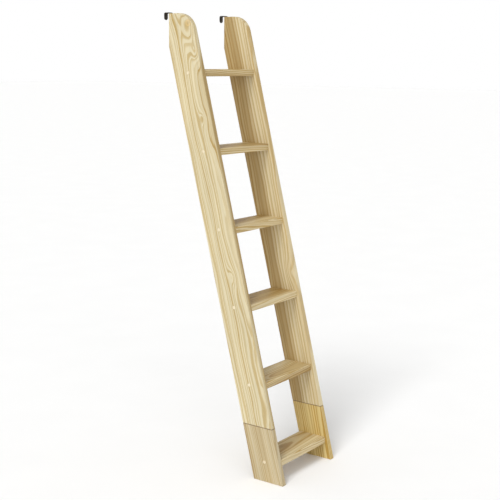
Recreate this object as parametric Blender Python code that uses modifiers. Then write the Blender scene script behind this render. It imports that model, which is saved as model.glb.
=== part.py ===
"""A pine ladder that hooks over a board edge: two leaning rails on foot sections, six flat steps,
two steel hooks, and the screws, plugs and dowels that hold them together.

Metres, +Z up. The floor is z = 0, the climber's side is -Y, the hooks are at +Y, and the middle of
the ladder's footprint is the origin.
"""

import math

import bmesh
import bpy

# Overall sizes
HEIGHT = 1.895  # floor to the top of the hooks
DEPTH = 0.619  # toe of the rails to the back of the hooks
WIDTH = 0.395  # across the outside of the rails

# Fits
CLEARANCE = 0.0003  # between pieces that touch or fit into each other

# Rails and their foot sections
RAIL_THICKNESS = 0.025
RAIL_BREADTH = 0.141  # across the board, square to its long edges
BACK_LAND = 0.133  # height of the upright face at the top of the back edge
TOP_ROUNDING = 0.082  # radius of the front top corner
LEAST_TOP_FLAT = 0.020  # flat that the rounding always leaves on the rail's top
EDGE_ROUNDING = 0.002
SEAM_HEIGHT = 0.230  # cut between a foot section and its rail

# Steps
STEP_COUNT = 6
STEP_THICKNESS = 0.028
FIRST_STEP_HEIGHT = 0.098  # floor to the top of the lowest step
TOP_STEP_DROP = 0.223  # rail's top down to the top of the highest step
STEP_FRONT_INSET = 0.006  # step's front top edge behind the rail's front edge
STEP_BACK_INSET = 0.002  # step's back lower edge inside the rail's back edge
STEP_EDGE_ROUNDING = 0.0025

# Hooks, bent from flat bar
HOOK_SIDE_WOOD = 0.0025  # wood left on each side of a hook's leg
HOOK_THICKNESS = 0.004
HOOK_SLOT = 0.023  # between the rail's back and the drop plate
HOOK_DROP = 0.030  # top of the hook down to the end of its drop plate
HOOK_LEG = 0.078  # rail's top down to the end of the leg in its groove
HOOK_BEND = 0.0045  # radius of the bends, at the middle of the bar
HOOK_SCREW_MARGIN = 0.020  # each leg screw from the rail's top or the leg's end

# Screws that join the steps, measured from the rail's outer face
PLUG_RADIUS = 0.007
PLUG_THICKNESS = 0.0045
PLUG_INSET = 0.0002
PLUG_CHAMFER = 0.0005
SCREW_HEAD_RADIUS = 0.005
SCREW_HEAD_DEPTH = 0.004
SCREW_SHANK_RADIUS = 0.0035
SCREW_LENGTH = 0.060
SCREW_POINT = 0.003  # length of the tapered end
SCREW_TIP_RADIUS = 0.0018
HEX_RADIUS = 0.0023  # corner radius of the socket in the head
HEX_DEPTH = 0.0022

# Dowels
DOWEL_RADIUS = 0.004
DOWEL_CHAMFER = 0.001
STEP_DOWEL_IN_RAIL = 0.012
STEP_DOWEL_IN_STEP = 0.023
STEP_DOWEL_OFFSET = 0.038  # in front of the screw
SEAM_DOWEL_HALF = 0.020  # length in each of the two boards
SEAM_DOWEL_OFFSET = 0.040  # each side of the board's middle

# Countersunk screws in the hook legs
HOOK_SCREW_HEAD_RADIUS = 0.0038
HOOK_SCREW_SHANK_RADIUS = 0.0019
HOOK_SCREW_LENGTH = 0.028
HOOK_SCREW_POINT = 0.004
HOOK_SCREW_TIP_RADIUS = 0.0005
HOOK_SCREW_LIP = 0.0004  # upright edge of the head above its cone
CROSS_LENGTH = 0.0042
CROSS_WIDTH = 0.0010
CROSS_TIP_WIDTH = 0.0007
CROSS_DEPTH = 0.0014

# Fineness of round shapes
CORNER_SEGMENTS = 12
EDGE_SEGMENTS = 2
STEP_EDGE_SEGMENTS = 3
BEND_SEGMENTS = 4
BAR_END_SEGMENTS = 6
TURN_STEPS = 12
SHARP_ANGLE = math.radians(40)  # edges sharper than this are eased
FLAT_ANGLE = math.radians(0.5)  # faces closer than this are one flat face
WELD_DISTANCE = 0.000001

CUT_MARGIN = 0.002  # how far a cutter stands out of the face that it opens

# Worked out from the sizes above
HOOK_WIDTH = RAIL_THICKNESS - 2 * HOOK_SIDE_WOOD
RAIL_TOP = HEIGHT - HOOK_THICKNESS
RAIL_REACH = DEPTH - HOOK_SLOT - HOOK_THICKNESS  # toe to the upright back face
KNEE_HEIGHT = RAIL_TOP - BACK_LAND
LEAN = math.acos(RAIL_BREADTH / math.hypot(RAIL_REACH, KNEE_HEIGHT)) - math.atan2(
    KNEE_HEIGHT, RAIL_REACH
)
FOOTPRINT = RAIL_BREADTH / math.cos(LEAN)  # level length of a rail's section
TOE_Y = -DEPTH / 2
BACK_Y = TOE_Y + RAIL_REACH
STEP_RISE = (RAIL_TOP - TOP_STEP_DROP - FIRST_STEP_HEIGHT) / (STEP_COUNT - 1)
STEP_DEPTH = FOOTPRINT - STEP_THICKNESS * math.tan(LEAN) - STEP_FRONT_INSET - STEP_BACK_INSET
STEP_LENGTH = WIDTH - 2 * RAIL_THICKNESS - 2 * CLEARANCE
SCREW_TOP = PLUG_INSET + PLUG_THICKNESS + CLEARANCE  # head's top below the rail's face

SIDES = {"left": -1, "right": 1}

WOOD = ("pine", (0.72, 0.53, 0.28), 0.55, 0.0)
END_WOOD = ("plug_wood", (0.78, 0.62, 0.38), 0.5, 0.0)
DOWEL_WOOD = ("dowel_wood", (0.62, 0.42, 0.22), 0.7, 0.0)
ZINC = ("zinc_steel", (0.62, 0.62, 0.60), 0.35, 1.0)
DARK_STEEL = ("dark_steel", (0.035, 0.03, 0.025), 0.45, 1.0)


def clear_scene():
    for old in list(bpy.data.objects):
        bpy.data.objects.remove(old)


def new_collection(name):
    collection = bpy.data.collections.new(name)
    bpy.context.scene.collection.children.link(collection)
    return collection


def material(kind):
    """The Principled material of one finish, made once."""
    name, colour, roughness, metallic = kind
    made = bpy.data.materials.get(name)
    if made is None:
        made = bpy.data.materials.new(name)
        made.use_nodes = True
        shader = made.node_tree.nodes["Principled BSDF"]
        shader.inputs["Base Color"].default_value = (*colour, 1.0)
        shader.inputs["Roughness"].default_value = roughness
        shader.inputs["Metallic"].default_value = metallic
    return made


def add_piece(name, mesh, kind, location=(0, 0, 0), rotation=(0, 0, 0)):
    """Puts a mesh into the ladder as the named piece."""
    mesh.materials.append(material(kind))
    piece = bpy.data.objects.new(name, mesh)
    piece.location = location
    piece.rotation_euler = rotation
    LADDER.objects.link(piece)
    return piece


def add_cutter(name, mesh, location=(0, 0, 0), rotation=(0, 0, 0)):
    """Puts a mesh among the cutters, which are never shown."""
    cutter = bpy.data.objects.new(name, mesh)
    cutter.location = location
    cutter.rotation_euler = rotation
    cutter.hide_render = True
    cutter.display_type = "WIRE"
    CUTTERS.objects.link(cutter)
    return cutter


def cut(piece, cutters):
    """Takes each cutter's shape out of a piece."""
    for cutter in cutters:
        boolean = piece.modifiers.new(f"cut {cutter.name}", "BOOLEAN")
        boolean.operation = "DIFFERENCE"
        boolean.solver = "EXACT"
        boolean.object = cutter


def front_edge(height):
    """Y of the rail's front edge at a height."""
    return TOE_Y + height * math.tan(LEAN)


def arc(centre, radius, start, end, segments):
    """Points on a circle from one angle to another, in order."""
    return [
        (
            centre[0] + radius * math.cos(start + (end - start) * i / segments),
            centre[1] + radius * math.sin(start + (end - start) * i / segments),
        )
        for i in range(segments + 1)
    ]


# The ways a shape is made. Flat outlines are drawn in a plane that is stood up across X: the
# outline's first number becomes Y and its second becomes Z.
STAND_UP = (math.pi / 2, 0, math.pi / 2)


def outline_mesh(name, points, thickness):
    """A flat outline given a thickness, as a welded mesh centred on the outline's plane."""
    curve = bpy.data.curves.new(name, "CURVE")
    curve.dimensions = "2D"
    curve.fill_mode = "BOTH"
    curve.extrude = thickness / 2
    spline = curve.splines.new("POLY")
    spline.points.add(len(points) - 1)
    for point, (u, v) in zip(spline.points, points):
        point.co = (u, v, 0, 1)
    spline.use_cyclic_u = True
    drawn = bpy.data.objects.new(name, curve)
    CUTTERS.objects.link(drawn)
    evaluated = drawn.evaluated_get(bpy.context.evaluated_depsgraph_get())
    mesh = bpy.data.meshes.new_from_object(evaluated)
    bpy.data.objects.remove(drawn)
    bpy.data.curves.remove(curve)
    work = bmesh.new()
    work.from_mesh(mesh)
    bmesh.ops.remove_doubles(work, verts=work.verts, dist=WELD_DISTANCE)
    bmesh.ops.dissolve_limit(work, angle_limit=FLAT_ANGLE, verts=work.verts, edges=work.edges)
    bmesh.ops.recalc_face_normals(work, faces=work.faces)
    work.to_mesh(mesh)
    work.free()
    return mesh


def box_mesh(name, size):
    work = bmesh.new()
    bmesh.ops.create_cube(work, size=1)
    bmesh.ops.scale(work, vec=size, verts=work.verts)
    mesh = bpy.data.meshes.new(name)
    work.to_mesh(mesh)
    work.free()
    return mesh


def profile_mesh(name, profile):
    """The open line of a turned shape: (radius, height) pairs from its top to its bottom."""
    mesh = bpy.data.meshes.new(name)
    points = [(radius, 0, height) for radius, height in profile]
    mesh.from_pydata(points, [(i, i + 1) for i in range(len(points) - 1)], [])
    return mesh


def turn(piece):
    """Turns a piece's profile about its own Z axis."""
    screw = piece.modifiers.new("turned", "SCREW")
    screw.steps = TURN_STEPS
    screw.render_steps = TURN_STEPS
    screw.use_merge_vertices = True
    screw.merge_threshold = WELD_DISTANCE
    screw.use_smooth_shade = False
    return piece


def rail_outline():
    """One side board in side view, foot and rail in one, from the toe up the front edge."""
    top_flat = BACK_Y - front_edge(RAIL_TOP) - LEAST_TOP_FLAT
    half_turn = (math.pi / 2 - LEAN) / 2
    radius = min(TOP_ROUNDING, top_flat / math.tan(half_turn))
    centre_z = RAIL_TOP - radius
    centre_y = front_edge(centre_z) + radius / math.cos(LEAN)
    corner = arc((centre_y, centre_z), radius, math.pi - LEAN, math.pi / 2, CORNER_SEGMENTS)
    return [
        (front_edge(0), 0),
        *corner,
        (BACK_Y, RAIL_TOP),
        (BACK_Y, KNEE_HEIGHT),
        (front_edge(0) + FOOTPRINT, 0),
    ]


def side_board(name, x):
    """A whole side board with eased edges, before the seam is cut."""
    mesh = outline_mesh(name, rail_outline(), RAIL_THICKNESS)
    board = add_piece(name, mesh, WOOD, (x, 0, 0), STAND_UP)
    easing = board.modifiers.new("eased edges", "BEVEL")
    easing.width = EDGE_ROUNDING
    easing.segments = EDGE_SEGMENTS
    easing.limit_method = "ANGLE"
    easing.angle_limit = SHARP_ANGLE
    return board


def seam_cutters():
    """Two blocks that each take away one side of the seam: all above it and all below it."""
    span = 2 * HEIGHT
    above = box_mesh("above_seam", (span, span, span))
    below = box_mesh("below_seam", (span, span, span))
    return (
        add_cutter("above_seam", above, (0, 0, SEAM_HEIGHT + span / 2)),
        add_cutter("below_seam", below, (0, 0, SEAM_HEIGHT + CLEARANCE - span / 2)),
    )


def step_height(number):
    """Height of a step's top face, with step 1 the lowest."""
    return FIRST_STEP_HEIGHT + (number - 1) * STEP_RISE


def step_joint_height(number):
    return step_height(number) - STEP_THICKNESS / 2


def rail_middle(height):
    """Y of the middle of the rail at a height below the knee."""
    return front_edge(height) + FOOTPRINT / 2


def rounded_rectangle(width, height, radius):
    """Corners as arcs, centred on the origin, anticlockwise from the lower right."""
    points = []
    for turn_number, (sign_u, sign_v) in enumerate([(1, -1), (1, 1), (-1, 1), (-1, -1)]):
        centre = (sign_u * (width / 2 - radius), sign_v * (height / 2 - radius))
        start = (turn_number - 1) * math.pi / 2
        points += arc(centre, radius, start, start + math.pi / 2, STEP_EDGE_SEGMENTS)
    return points


def make_step(number):
    """A flat tread, held between the rails."""
    outline = rounded_rectangle(STEP_DEPTH, STEP_THICKNESS, STEP_EDGE_ROUNDING)
    mesh = outline_mesh(f"step_{number}", outline, STEP_LENGTH)
    front = front_edge(step_height(number)) + STEP_FRONT_INSET
    middle = (0, front + STEP_DEPTH / 2, step_joint_height(number))
    return add_piece(f"step_{number}", mesh, WOOD, middle, STAND_UP)


def facing_out(side):
    """Turns a local +Z into the outward direction of one rail."""
    return (0, SIDES[side] * math.pi / 2, 0)


def screw_profile(gap=0.0):
    """Head, shank and point of a step screw below the rail's face, grown by a gap."""
    shoulder = -SCREW_TOP - SCREW_HEAD_DEPTH - gap
    end = -SCREW_TOP - SCREW_LENGTH - gap
    shank = SCREW_SHANK_RADIUS + gap
    return [
        (SCREW_HEAD_RADIUS + gap, shoulder),
        (shank, shoulder),
        (shank, end + SCREW_POINT),
        (SCREW_TIP_RADIUS + gap, end),
        (0, end),
    ]


def step_screw(side, number, place):
    """A connecting screw whose socket head stands on a shoulder inside the rail."""
    name = f"{side}_step_screw_{number}"
    profile = [(0, -SCREW_TOP), (SCREW_HEAD_RADIUS, -SCREW_TOP), *screw_profile()]
    screw = turn(add_piece(name, profile_mesh(name, profile), ZINC, place, facing_out(side)))
    work = bmesh.new()
    reach = HEX_DEPTH + CUT_MARGIN
    bmesh.ops.create_cone(
        work, cap_ends=True, segments=6, radius1=HEX_RADIUS, radius2=HEX_RADIUS, depth=reach
    )
    bmesh.ops.translate(work, vec=(0, 0, -SCREW_TOP - HEX_DEPTH + reach / 2), verts=work.verts)
    mesh = bpy.data.meshes.new(f"{name}_socket")
    work.to_mesh(mesh)
    work.free()
    cut(screw, [add_cutter(f"{name}_socket", mesh, place, facing_out(side))])
    return screw


def step_screw_hole(side, number, place):
    """The plug's pocket, the head's pocket and the shank's hole, as one cutter."""
    name = f"{side}_screw_hole_{number}"
    pocket = PLUG_RADIUS + CLEARANCE
    pocket_floor = -SCREW_TOP
    profile = [
        (0, CUT_MARGIN),
        (pocket, CUT_MARGIN),
        (pocket, pocket_floor),
        (SCREW_HEAD_RADIUS + CLEARANCE, pocket_floor),
        *screw_profile(CLEARANCE),
    ]
    return turn(add_cutter(name, profile_mesh(name, profile), place, facing_out(side)))


def plug(side, number, place):
    """The round plug that covers a step screw, just under flush with the rail."""
    name = f"{side}_plug_{number}"
    profile = [
        (0, -PLUG_INSET),
        (PLUG_RADIUS - PLUG_CHAMFER, -PLUG_INSET),
        (PLUG_RADIUS, -PLUG_INSET - PLUG_CHAMFER),
        (PLUG_RADIUS, -PLUG_INSET - PLUG_THICKNESS),
        (0, -PLUG_INSET - PLUG_THICKNESS),
    ]
    return turn(add_piece(name, profile_mesh(name, profile), END_WOOD, place, facing_out(side)))


def dowel_profile(top, bottom, gap=0.0):
    """A dowel between two heights on its axis, or its hole when grown by a gap."""
    radius = DOWEL_RADIUS + gap
    return [
        (0, top + gap),
        (radius - DOWEL_CHAMFER, top + gap),
        (radius, top + gap - DOWEL_CHAMFER),
        (radius, bottom - gap + DOWEL_CHAMFER),
        (radius - DOWEL_CHAMFER, bottom - gap),
        (0, bottom - gap),
    ]


def dowel_and_hole(name, top, bottom, place, rotation):
    """Makes a dowel, and returns the cutter for its hole in both boards."""
    solid = profile_mesh(name, dowel_profile(top, bottom))
    turn(add_piece(name, solid, DOWEL_WOOD, place, rotation))
    hole = profile_mesh(f"{name}_hole", dowel_profile(top, bottom, CLEARANCE))
    return turn(add_cutter(f"{name}_hole", hole, place, rotation))


def step_joint(side, number, board, step):
    """Everything that joins one end of a step to its board."""
    height = step_joint_height(number)
    outer_x = SIDES[side] * WIDTH / 2
    place = (outer_x, rail_middle(height), height)
    step_screw(side, number, place)
    plug(side, number, place)
    screw_hole = step_screw_hole(side, number, place)
    dowel_place = (outer_x, place[1] - STEP_DOWEL_OFFSET, height)
    top = STEP_DOWEL_IN_RAIL - RAIL_THICKNESS
    bottom = -RAIL_THICKNESS - STEP_DOWEL_IN_STEP
    name = f"{side}_step_dowel_{number}"
    dowel_hole = dowel_and_hole(name, top, bottom, dowel_place, facing_out(side))
    cut(board, [screw_hole, dowel_hole])
    cut(step, [screw_hole, dowel_hole])


def seam_joint(side, board_x, rail, foot):
    """The two upright dowels between a rail and its foot section."""
    for row, sign in (("front", -1), ("back", 1)):
        place = (board_x, rail_middle(SEAM_HEIGHT) + sign * SEAM_DOWEL_OFFSET, SEAM_HEIGHT)
        name = f"{side}_seam_dowel_{row}"
        hole = dowel_and_hole(name, SEAM_DOWEL_HALF, -SEAM_DOWEL_HALF, place, (0, 0, 0))
        cut(rail, [hole])
        cut(foot, [hole])


def rounded_end(y, tip_z):
    """Places up a hanging bar's half-round end, from its tip, each with its half width."""
    half = HOOK_WIDTH / 2
    places = []
    for i in range(1, BAR_END_SEGMENTS + 1):
        angle = math.pi / 2 * i / BAR_END_SEGMENTS
        places.append((y, tip_z + half * (1 - math.cos(angle)), half * math.sin(angle)))
    return places


def bend_places(centre_y, start, end):
    """Places round one bend of the bar, each with its half width."""
    centre = (centre_y, HEIGHT - HOOK_THICKNESS / 2 - HOOK_BEND)
    bend = arc(centre, HOOK_BEND, start, end, BEND_SEGMENTS)
    return [(y, z, HOOK_WIDTH / 2) for y, z in bend]


def hook_places():
    """The middle line of the bent bar in side view, from the leg's end to the drop plate's end."""
    leg_y = BACK_Y - HOOK_THICKNESS / 2
    drop_y = BACK_Y + HOOK_SLOT + HOOK_THICKNESS / 2
    return [
        *rounded_end(leg_y, RAIL_TOP - HOOK_LEG),
        *bend_places(leg_y + HOOK_BEND, math.pi, math.pi / 2),
        *bend_places(drop_y - HOOK_BEND, math.pi / 2, 0),
        *reversed(rounded_end(drop_y, HEIGHT - HOOK_DROP)),
    ]


def hook_mesh(name):
    """The open middle surface of the bar, narrowing to a half circle at both ends."""
    work = bmesh.new()
    rows = []
    for y, z, half in hook_places():
        rows.append((work.verts.new((half, y, z)), work.verts.new((-half, y, z))))
    for near, far in zip(rows, rows[1:]):
        work.faces.new((near[0], near[1], far[1], far[0]))
    mesh = bpy.data.meshes.new(name)
    work.to_mesh(mesh)
    work.free()
    return mesh


def cross_outline():
    """A four-armed recess, anticlockwise from its right arm."""
    arm, half, tip = CROSS_LENGTH / 2, CROSS_WIDTH / 2, CROSS_TIP_WIDTH / 2
    corner = [(arm, -tip), (arm, tip), (half, half)]
    points = []
    for quarter in range(4):
        cos, sin = round(math.cos(quarter * math.pi / 2)), round(math.sin(quarter * math.pi / 2))
        points += [(u * cos - v * sin, u * sin + v * cos) for u, v in corner]
    return points


def hook_screw_profile(gap=0.0):
    """Lip, cone, shank and point of a countersunk screw below its face, grown by a gap."""
    head, shank = HOOK_SCREW_HEAD_RADIUS + gap, HOOK_SCREW_SHANK_RADIUS + gap
    end = -HOOK_SCREW_LENGTH - gap
    return [
        (head, -HOOK_SCREW_LIP - gap),
        (shank, -HOOK_SCREW_LIP - gap - (head - shank)),
        (shank, end + HOOK_SCREW_POINT),
        (HOOK_SCREW_TIP_RADIUS + gap, end),
        (0, end),
    ]


def hook_screw(side, number, place):
    """A leg screw with its cross recess. Returns the cutter for its hole."""
    name = f"{side}_hook_screw_{number}"
    facing_back = (-math.pi / 2, 0, 0)
    sunk = -CLEARANCE / 2
    profile = [(0, sunk), (HOOK_SCREW_HEAD_RADIUS, sunk), *hook_screw_profile()]
    screw = turn(add_piece(name, profile_mesh(name, profile), ZINC, place, facing_back))
    reach = CROSS_DEPTH + CUT_MARGIN
    cross = outline_mesh(f"{name}_cross", cross_outline(), reach)
    cross_place = (place[0], place[1] - CROSS_DEPTH + reach / 2, place[2])
    cut(screw, [add_cutter(f"{name}_cross", cross, cross_place, facing_back)])
    mouth = HOOK_SCREW_HEAD_RADIUS + CLEARANCE
    hole = [(0, CUT_MARGIN), (mouth, CUT_MARGIN), *hook_screw_profile(CLEARANCE)]
    return turn(add_cutter(f"{name}_hole", profile_mesh(f"{name}_hole", hole), place, facing_back))


def hook_groove(side, board_x):
    """The groove for a hook's leg, open at the rail's back and top, round at its lower end."""
    half = HOOK_WIDTH / 2 + CLEARANCE
    end_centre = RAIL_TOP - HOOK_LEG + HOOK_WIDTH / 2
    lower = arc((0, end_centre), half, math.pi, 2 * math.pi, CORNER_SEGMENTS)
    top = RAIL_TOP + CUT_MARGIN
    outline = [*lower, (half, top), (-half, top)]
    depth = HOOK_THICKNESS + CLEARANCE + CUT_MARGIN
    place = (board_x, BACK_Y + CUT_MARGIN - depth / 2, 0)
    mesh = outline_mesh(f"{side}_hook_groove", outline, depth)
    return add_cutter(f"{side}_hook_groove", mesh, place, (math.pi / 2, 0, 0))


def make_hook(side, board_x, rail):
    """A steel hook, its groove in the rail, and its two screws."""
    name = f"{side}_hook"
    hook = add_piece(name, hook_mesh(name), DARK_STEEL, (board_x, 0, 0))
    wall = hook.modifiers.new("bar thickness", "SOLIDIFY")
    wall.thickness = HOOK_THICKNESS
    wall.offset = 0
    wall.use_even_offset = True
    cut(rail, [hook_groove(side, board_x)])
    heights = (RAIL_TOP - HOOK_SCREW_MARGIN, RAIL_TOP - HOOK_LEG + HOOK_SCREW_MARGIN)
    for number, height in enumerate(heights, start=1):
        hole = hook_screw(side, number, (board_x, BACK_Y, height))
        cut(hook, [hole])
        cut(rail, [hole])


def make_side(side, steps, above_seam, below_seam):
    """One rail with its foot section, hook and joints."""
    board_x = SIDES[side] * (WIDTH - RAIL_THICKNESS) / 2
    rail = side_board(f"{side}_rail", board_x)
    foot = side_board(f"{side}_foot", board_x)
    cut(rail, [below_seam])
    cut(foot, [above_seam])
    seam_joint(side, board_x, rail, foot)
    for number, step in enumerate(steps, start=1):
        board = foot if step_height(number) < SEAM_HEIGHT else rail
        step_joint(side, number, board, step)
    make_hook(side, board_x, rail)


clear_scene()
LADDER = new_collection("hook_on_ladder")
CUTTERS = new_collection("cutters")
all_steps = [make_step(number) for number in range(1, STEP_COUNT + 1)]
above, below = seam_cutters()
for side_name in SIDES:
    make_side(side_name, all_steps, above, below)
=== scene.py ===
"""A pine ladder that hooks over a board edge, finished in wood and steel around its CAD frame."""

import functools
import math

import bmesh
import bpy
from bpy.props import FloatProperty, FloatVectorProperty, IntProperty, PointerProperty
from mathutils import Euler, Matrix, Vector


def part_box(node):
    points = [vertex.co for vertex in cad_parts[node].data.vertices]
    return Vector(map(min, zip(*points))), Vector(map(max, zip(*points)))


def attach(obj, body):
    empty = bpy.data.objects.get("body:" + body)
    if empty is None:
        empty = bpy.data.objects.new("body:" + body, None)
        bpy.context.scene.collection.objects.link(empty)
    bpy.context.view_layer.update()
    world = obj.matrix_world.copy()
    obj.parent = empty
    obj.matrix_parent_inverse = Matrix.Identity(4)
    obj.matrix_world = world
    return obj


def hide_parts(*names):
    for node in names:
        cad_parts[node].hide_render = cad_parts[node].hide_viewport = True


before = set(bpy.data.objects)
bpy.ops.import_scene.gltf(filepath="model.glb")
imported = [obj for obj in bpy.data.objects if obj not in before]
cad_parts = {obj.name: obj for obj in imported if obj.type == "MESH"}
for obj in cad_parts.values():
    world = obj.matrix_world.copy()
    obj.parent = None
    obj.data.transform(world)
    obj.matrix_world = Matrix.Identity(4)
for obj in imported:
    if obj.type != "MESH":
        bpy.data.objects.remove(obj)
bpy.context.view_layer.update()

bl_info = {
    "name": "Hook-on Ladder",
    "version": (1, 0, 0),
    "blender": (4, 5, 0),
    "location": "3D View > Sidebar > Ladder",
    "description": "Makes a pine ladder with hooks, screws, plugs and dowels around its CAD frame",
    "category": "Object",
}

BODY = "root"
SIDES = {"left": -1, "right": 1}
STEP_NUMBERS = range(1, 7)
SEAM_ROWS = ("front", "back")
HOOK_SCREW_NUMBERS = (1, 2)
ACROSS = Vector((1, 0, 0))
BACK = Vector((0, 1, 0))
UP = Vector((0, 0, 1))
WHITE = (1.0, 1.0, 1.0, 1.0)

# Fits, in metres
CLEARANCE = 0.0003  # between pieces that fit into each other
BORE_MARGIN = 0.002  # how far a cutter stands out of the face that it opens
WELD = 0.000001
SCREW_SHANK = 0.0035
SCREW_HEAD_DEPTH = 0.004
HOOK_SCREW_LIP = 0.0004  # upright edge of a hook screw's head above its cone
HOOK_DROP = 0.030  # top of a hook down to the end of its drop plate

# Fineness of round shapes
CREASE_ANGLE = math.radians(32)  # sharper edges stay crisp in shading
SHARP_ANGLE = math.radians(40)  # a side board's edges sharper than this are eased
CORNER_SEGMENTS = 40
EASING_SEGMENTS = 5
GROOVE_SEGMENTS = 20
BAR_END_SEGMENTS = 14
BEND_SEGMENTS = 8
BAR_EDGE_SEGMENTS = 3
MOST_ROUNDED = 0.9  # share of a bar's half width that its rounded edges can take
TURN_SEGMENTS = 32
DOWEL_BORE_SEGMENTS = 24
PLUG_SIDES = 40
HEAD_SIDES = 32
SHANK_SIDES = 20

# The rails lean at the slope on which the steps climb.
LOWEST_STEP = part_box("step_1")
HIGHEST_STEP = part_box("step_6")
STEP_CLIMB = HIGHEST_STEP[0] - LOWEST_STEP[0]
SLOPE = STEP_CLIMB.y / STEP_CLIMB.z
LEAN = math.atan(SLOPE)
BACK_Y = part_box("left_rail")[1].y
RAIL_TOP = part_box("left_rail")[1].z


# Settings


def colour_setting(name, description, default):
    """A colour that a user can change."""
    return FloatVectorProperty(
        name=name, description=description, subtype="COLOR", size=3, min=0, max=1, default=default
    )


def length_setting(name, description, low, high, default):
    """A length that a user can change."""
    return FloatProperty(
        name=name,
        description=description,
        unit="LENGTH",
        subtype="DISTANCE",
        min=low,
        max=high,
        default=default,
        precision=5,
    )


def strength_setting(name, description, high, default):
    """The strength of a light that a user can change."""
    return FloatProperty(name=name, description=description, min=0, max=high, default=default)


def angle_setting(name, description, default):
    """An angle that a user can change."""
    return FloatProperty(name=name, description=description, subtype="ANGLE", default=default)


class PineSettings(bpy.types.PropertyGroup):
    """How the pine looks."""

    sapwood: colour_setting(
        "Sapwood", "Pale wood between the growth lines", (0.655, 0.582, 0.402)
    )
    latewood: colour_setting(
        "Growth lines", "Tan wood laid down at the end of each season", (0.45, 0.315, 0.112)
    )
    heartwood: colour_setting(
        "Heartwood", "Tint of the browner wood near the middle of the log", (0.68, 0.58, 0.40)
    )
    knot: colour_setting("Knots", "Middle of a knot", (0.42, 0.290, 0.120))
    roughness: FloatProperty(
        name="Roughness",
        description="Roughness of the clear lacquer",
        subtype="FACTOR",
        min=0,
        max=1,
        default=0.5,
    )
    relief: length_setting(
        "Grain relief", "Height of the growth lines above the soft wood", 0, 0.001, 0.00025
    )


class BoardSettings(bpy.types.PropertyGroup):
    """Sizes of the side boards and the treads."""

    breadth: length_setting(
        "Board breadth", "Across a side board, square to its long edges", 0.05, 0.3, 0.141
    )
    back_land: length_setting(
        "Back land", "Height of the upright face at the top of the back edge", 0.02, 0.4, 0.133
    )
    top_rounding: length_setting(
        "Top rounding", "Radius of the front top corner", 0.005, 0.1, 0.082
    )
    easing: length_setting(
        "Eased edges", "Rounding along the edges of the side boards", 0.0005, 0.005, 0.0022
    )
    seam_easing: length_setting(
        "Eased seam", "Rounding where a foot section meets its rail", 0.0002, 0.002, 0.0014
    )
    tread_rounding: length_setting(
        "Tread rounding", "Rounding along the long edges of a tread", 0.0005, 0.01, 0.0027
    )


class HookSettings(bpy.types.PropertyGroup):
    """Sizes and finish of the steel hooks."""

    thickness: length_setting("Bar thickness", "Thickness of the flat bar", 0.001, 0.01, 0.004)
    bend: length_setting(
        "Bend radius", "Radius of each bend at the middle of the bar", 0.002, 0.01, 0.0045
    )
    edge: length_setting(
        "Edge rounding", "Rounding along the edges of the bar", 0.0001, 0.0015, 0.0006
    )
    colour: colour_setting("Bar colour", "Dark oiled finish of the bar", (0.030, 0.024, 0.017))
    worn_colour: colour_setting(
        "Rubbed colour", "Brown where the dark finish is thin", (0.085, 0.064, 0.041)
    )


class FastenerSettings(bpy.types.PropertyGroup):
    """Sizes of the screws, plugs and dowels that their boxes do not give."""

    thread_pitch: length_setting(
        "Thread pitch", "Rise of a step screw's thread in one turn", 0.001, 0.006, 0.0032
    )
    thread_depth: length_setting(
        "Thread depth", "Height of a step screw's thread above its core", 0.0002, 0.002, 0.0011
    )
    plug_chamfer: length_setting(
        "Plug chamfer", "Bevel round the face of a plug", 0.0001, 0.002, 0.0006
    )
    dowel_chamfer: length_setting(
        "Dowel chamfer", "Bevel round each end of a dowel", 0.0002, 0.003, 0.001
    )
    flutes: IntProperty(
        name="Dowel flutes",
        description="Number of grooves round a dowel",
        min=6,
        max=40,
        default=20,
    )
    flute_depth: length_setting(
        "Flute depth", "Depth of the grooves round a dowel", 0.0001, 0.001, 0.00035
    )
    zinc: colour_setting("Zinc", "Colour of the plated screws", (0.63, 0.64, 0.63))


class StageSettings(bpy.types.PropertyGroup):
    """Floor, light and camera."""

    floor_colour: colour_setting("Floor", "Colour of the plain floor", (0.935, 0.935, 0.93))
    backdrop_light: strength_setting(
        "Backdrop light", "Strength of the white backdrop all round, up to eye level", 5, 1.0
    )
    room_light: strength_setting(
        "Room light", "Strength of the even light from overhead", 5, 0.55
    )
    key_light: strength_setting("Key light", "Strength of the broad light at the left", 10, 1.65)
    fill_light: strength_setting("Fill light", "Strength of the broad light in front", 10, 0.6)
    camera_place: FloatVectorProperty(
        name="Camera",
        description="Where the camera stands",
        subtype="XYZ",
        unit="LENGTH",
        size=3,
        default=(-3.524, -2.546, 1.7032),
    )
    camera_heading: angle_setting(
        "Heading", "Direction the camera looks in, turned from +X towards +Y", 0.6271
    )
    camera_dip: angle_setting("Dip", "Angle that the camera looks down by", 0.1846)
    camera_roll: angle_setting("Roll", "Turn of the camera about its own line of sight", 0.0079)
    lens: FloatProperty(
        name="Lens", description="Focal length in millimetres", min=10, max=300, default=75.2
    )
    rise: FloatProperty(
        name="Lens rise", description="Upward shift of the lens", min=0, max=0.05, default=0.012
    )


class LadderSettings(bpy.types.PropertyGroup):
    """Everything that a user can change."""

    pine: PointerProperty(type=PineSettings)
    boards: PointerProperty(type=BoardSettings)
    hooks: PointerProperty(type=HookSettings)
    fasteners: PointerProperty(type=FastenerSettings)
    stage: PointerProperty(type=StageSettings)


# Node trees


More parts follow.
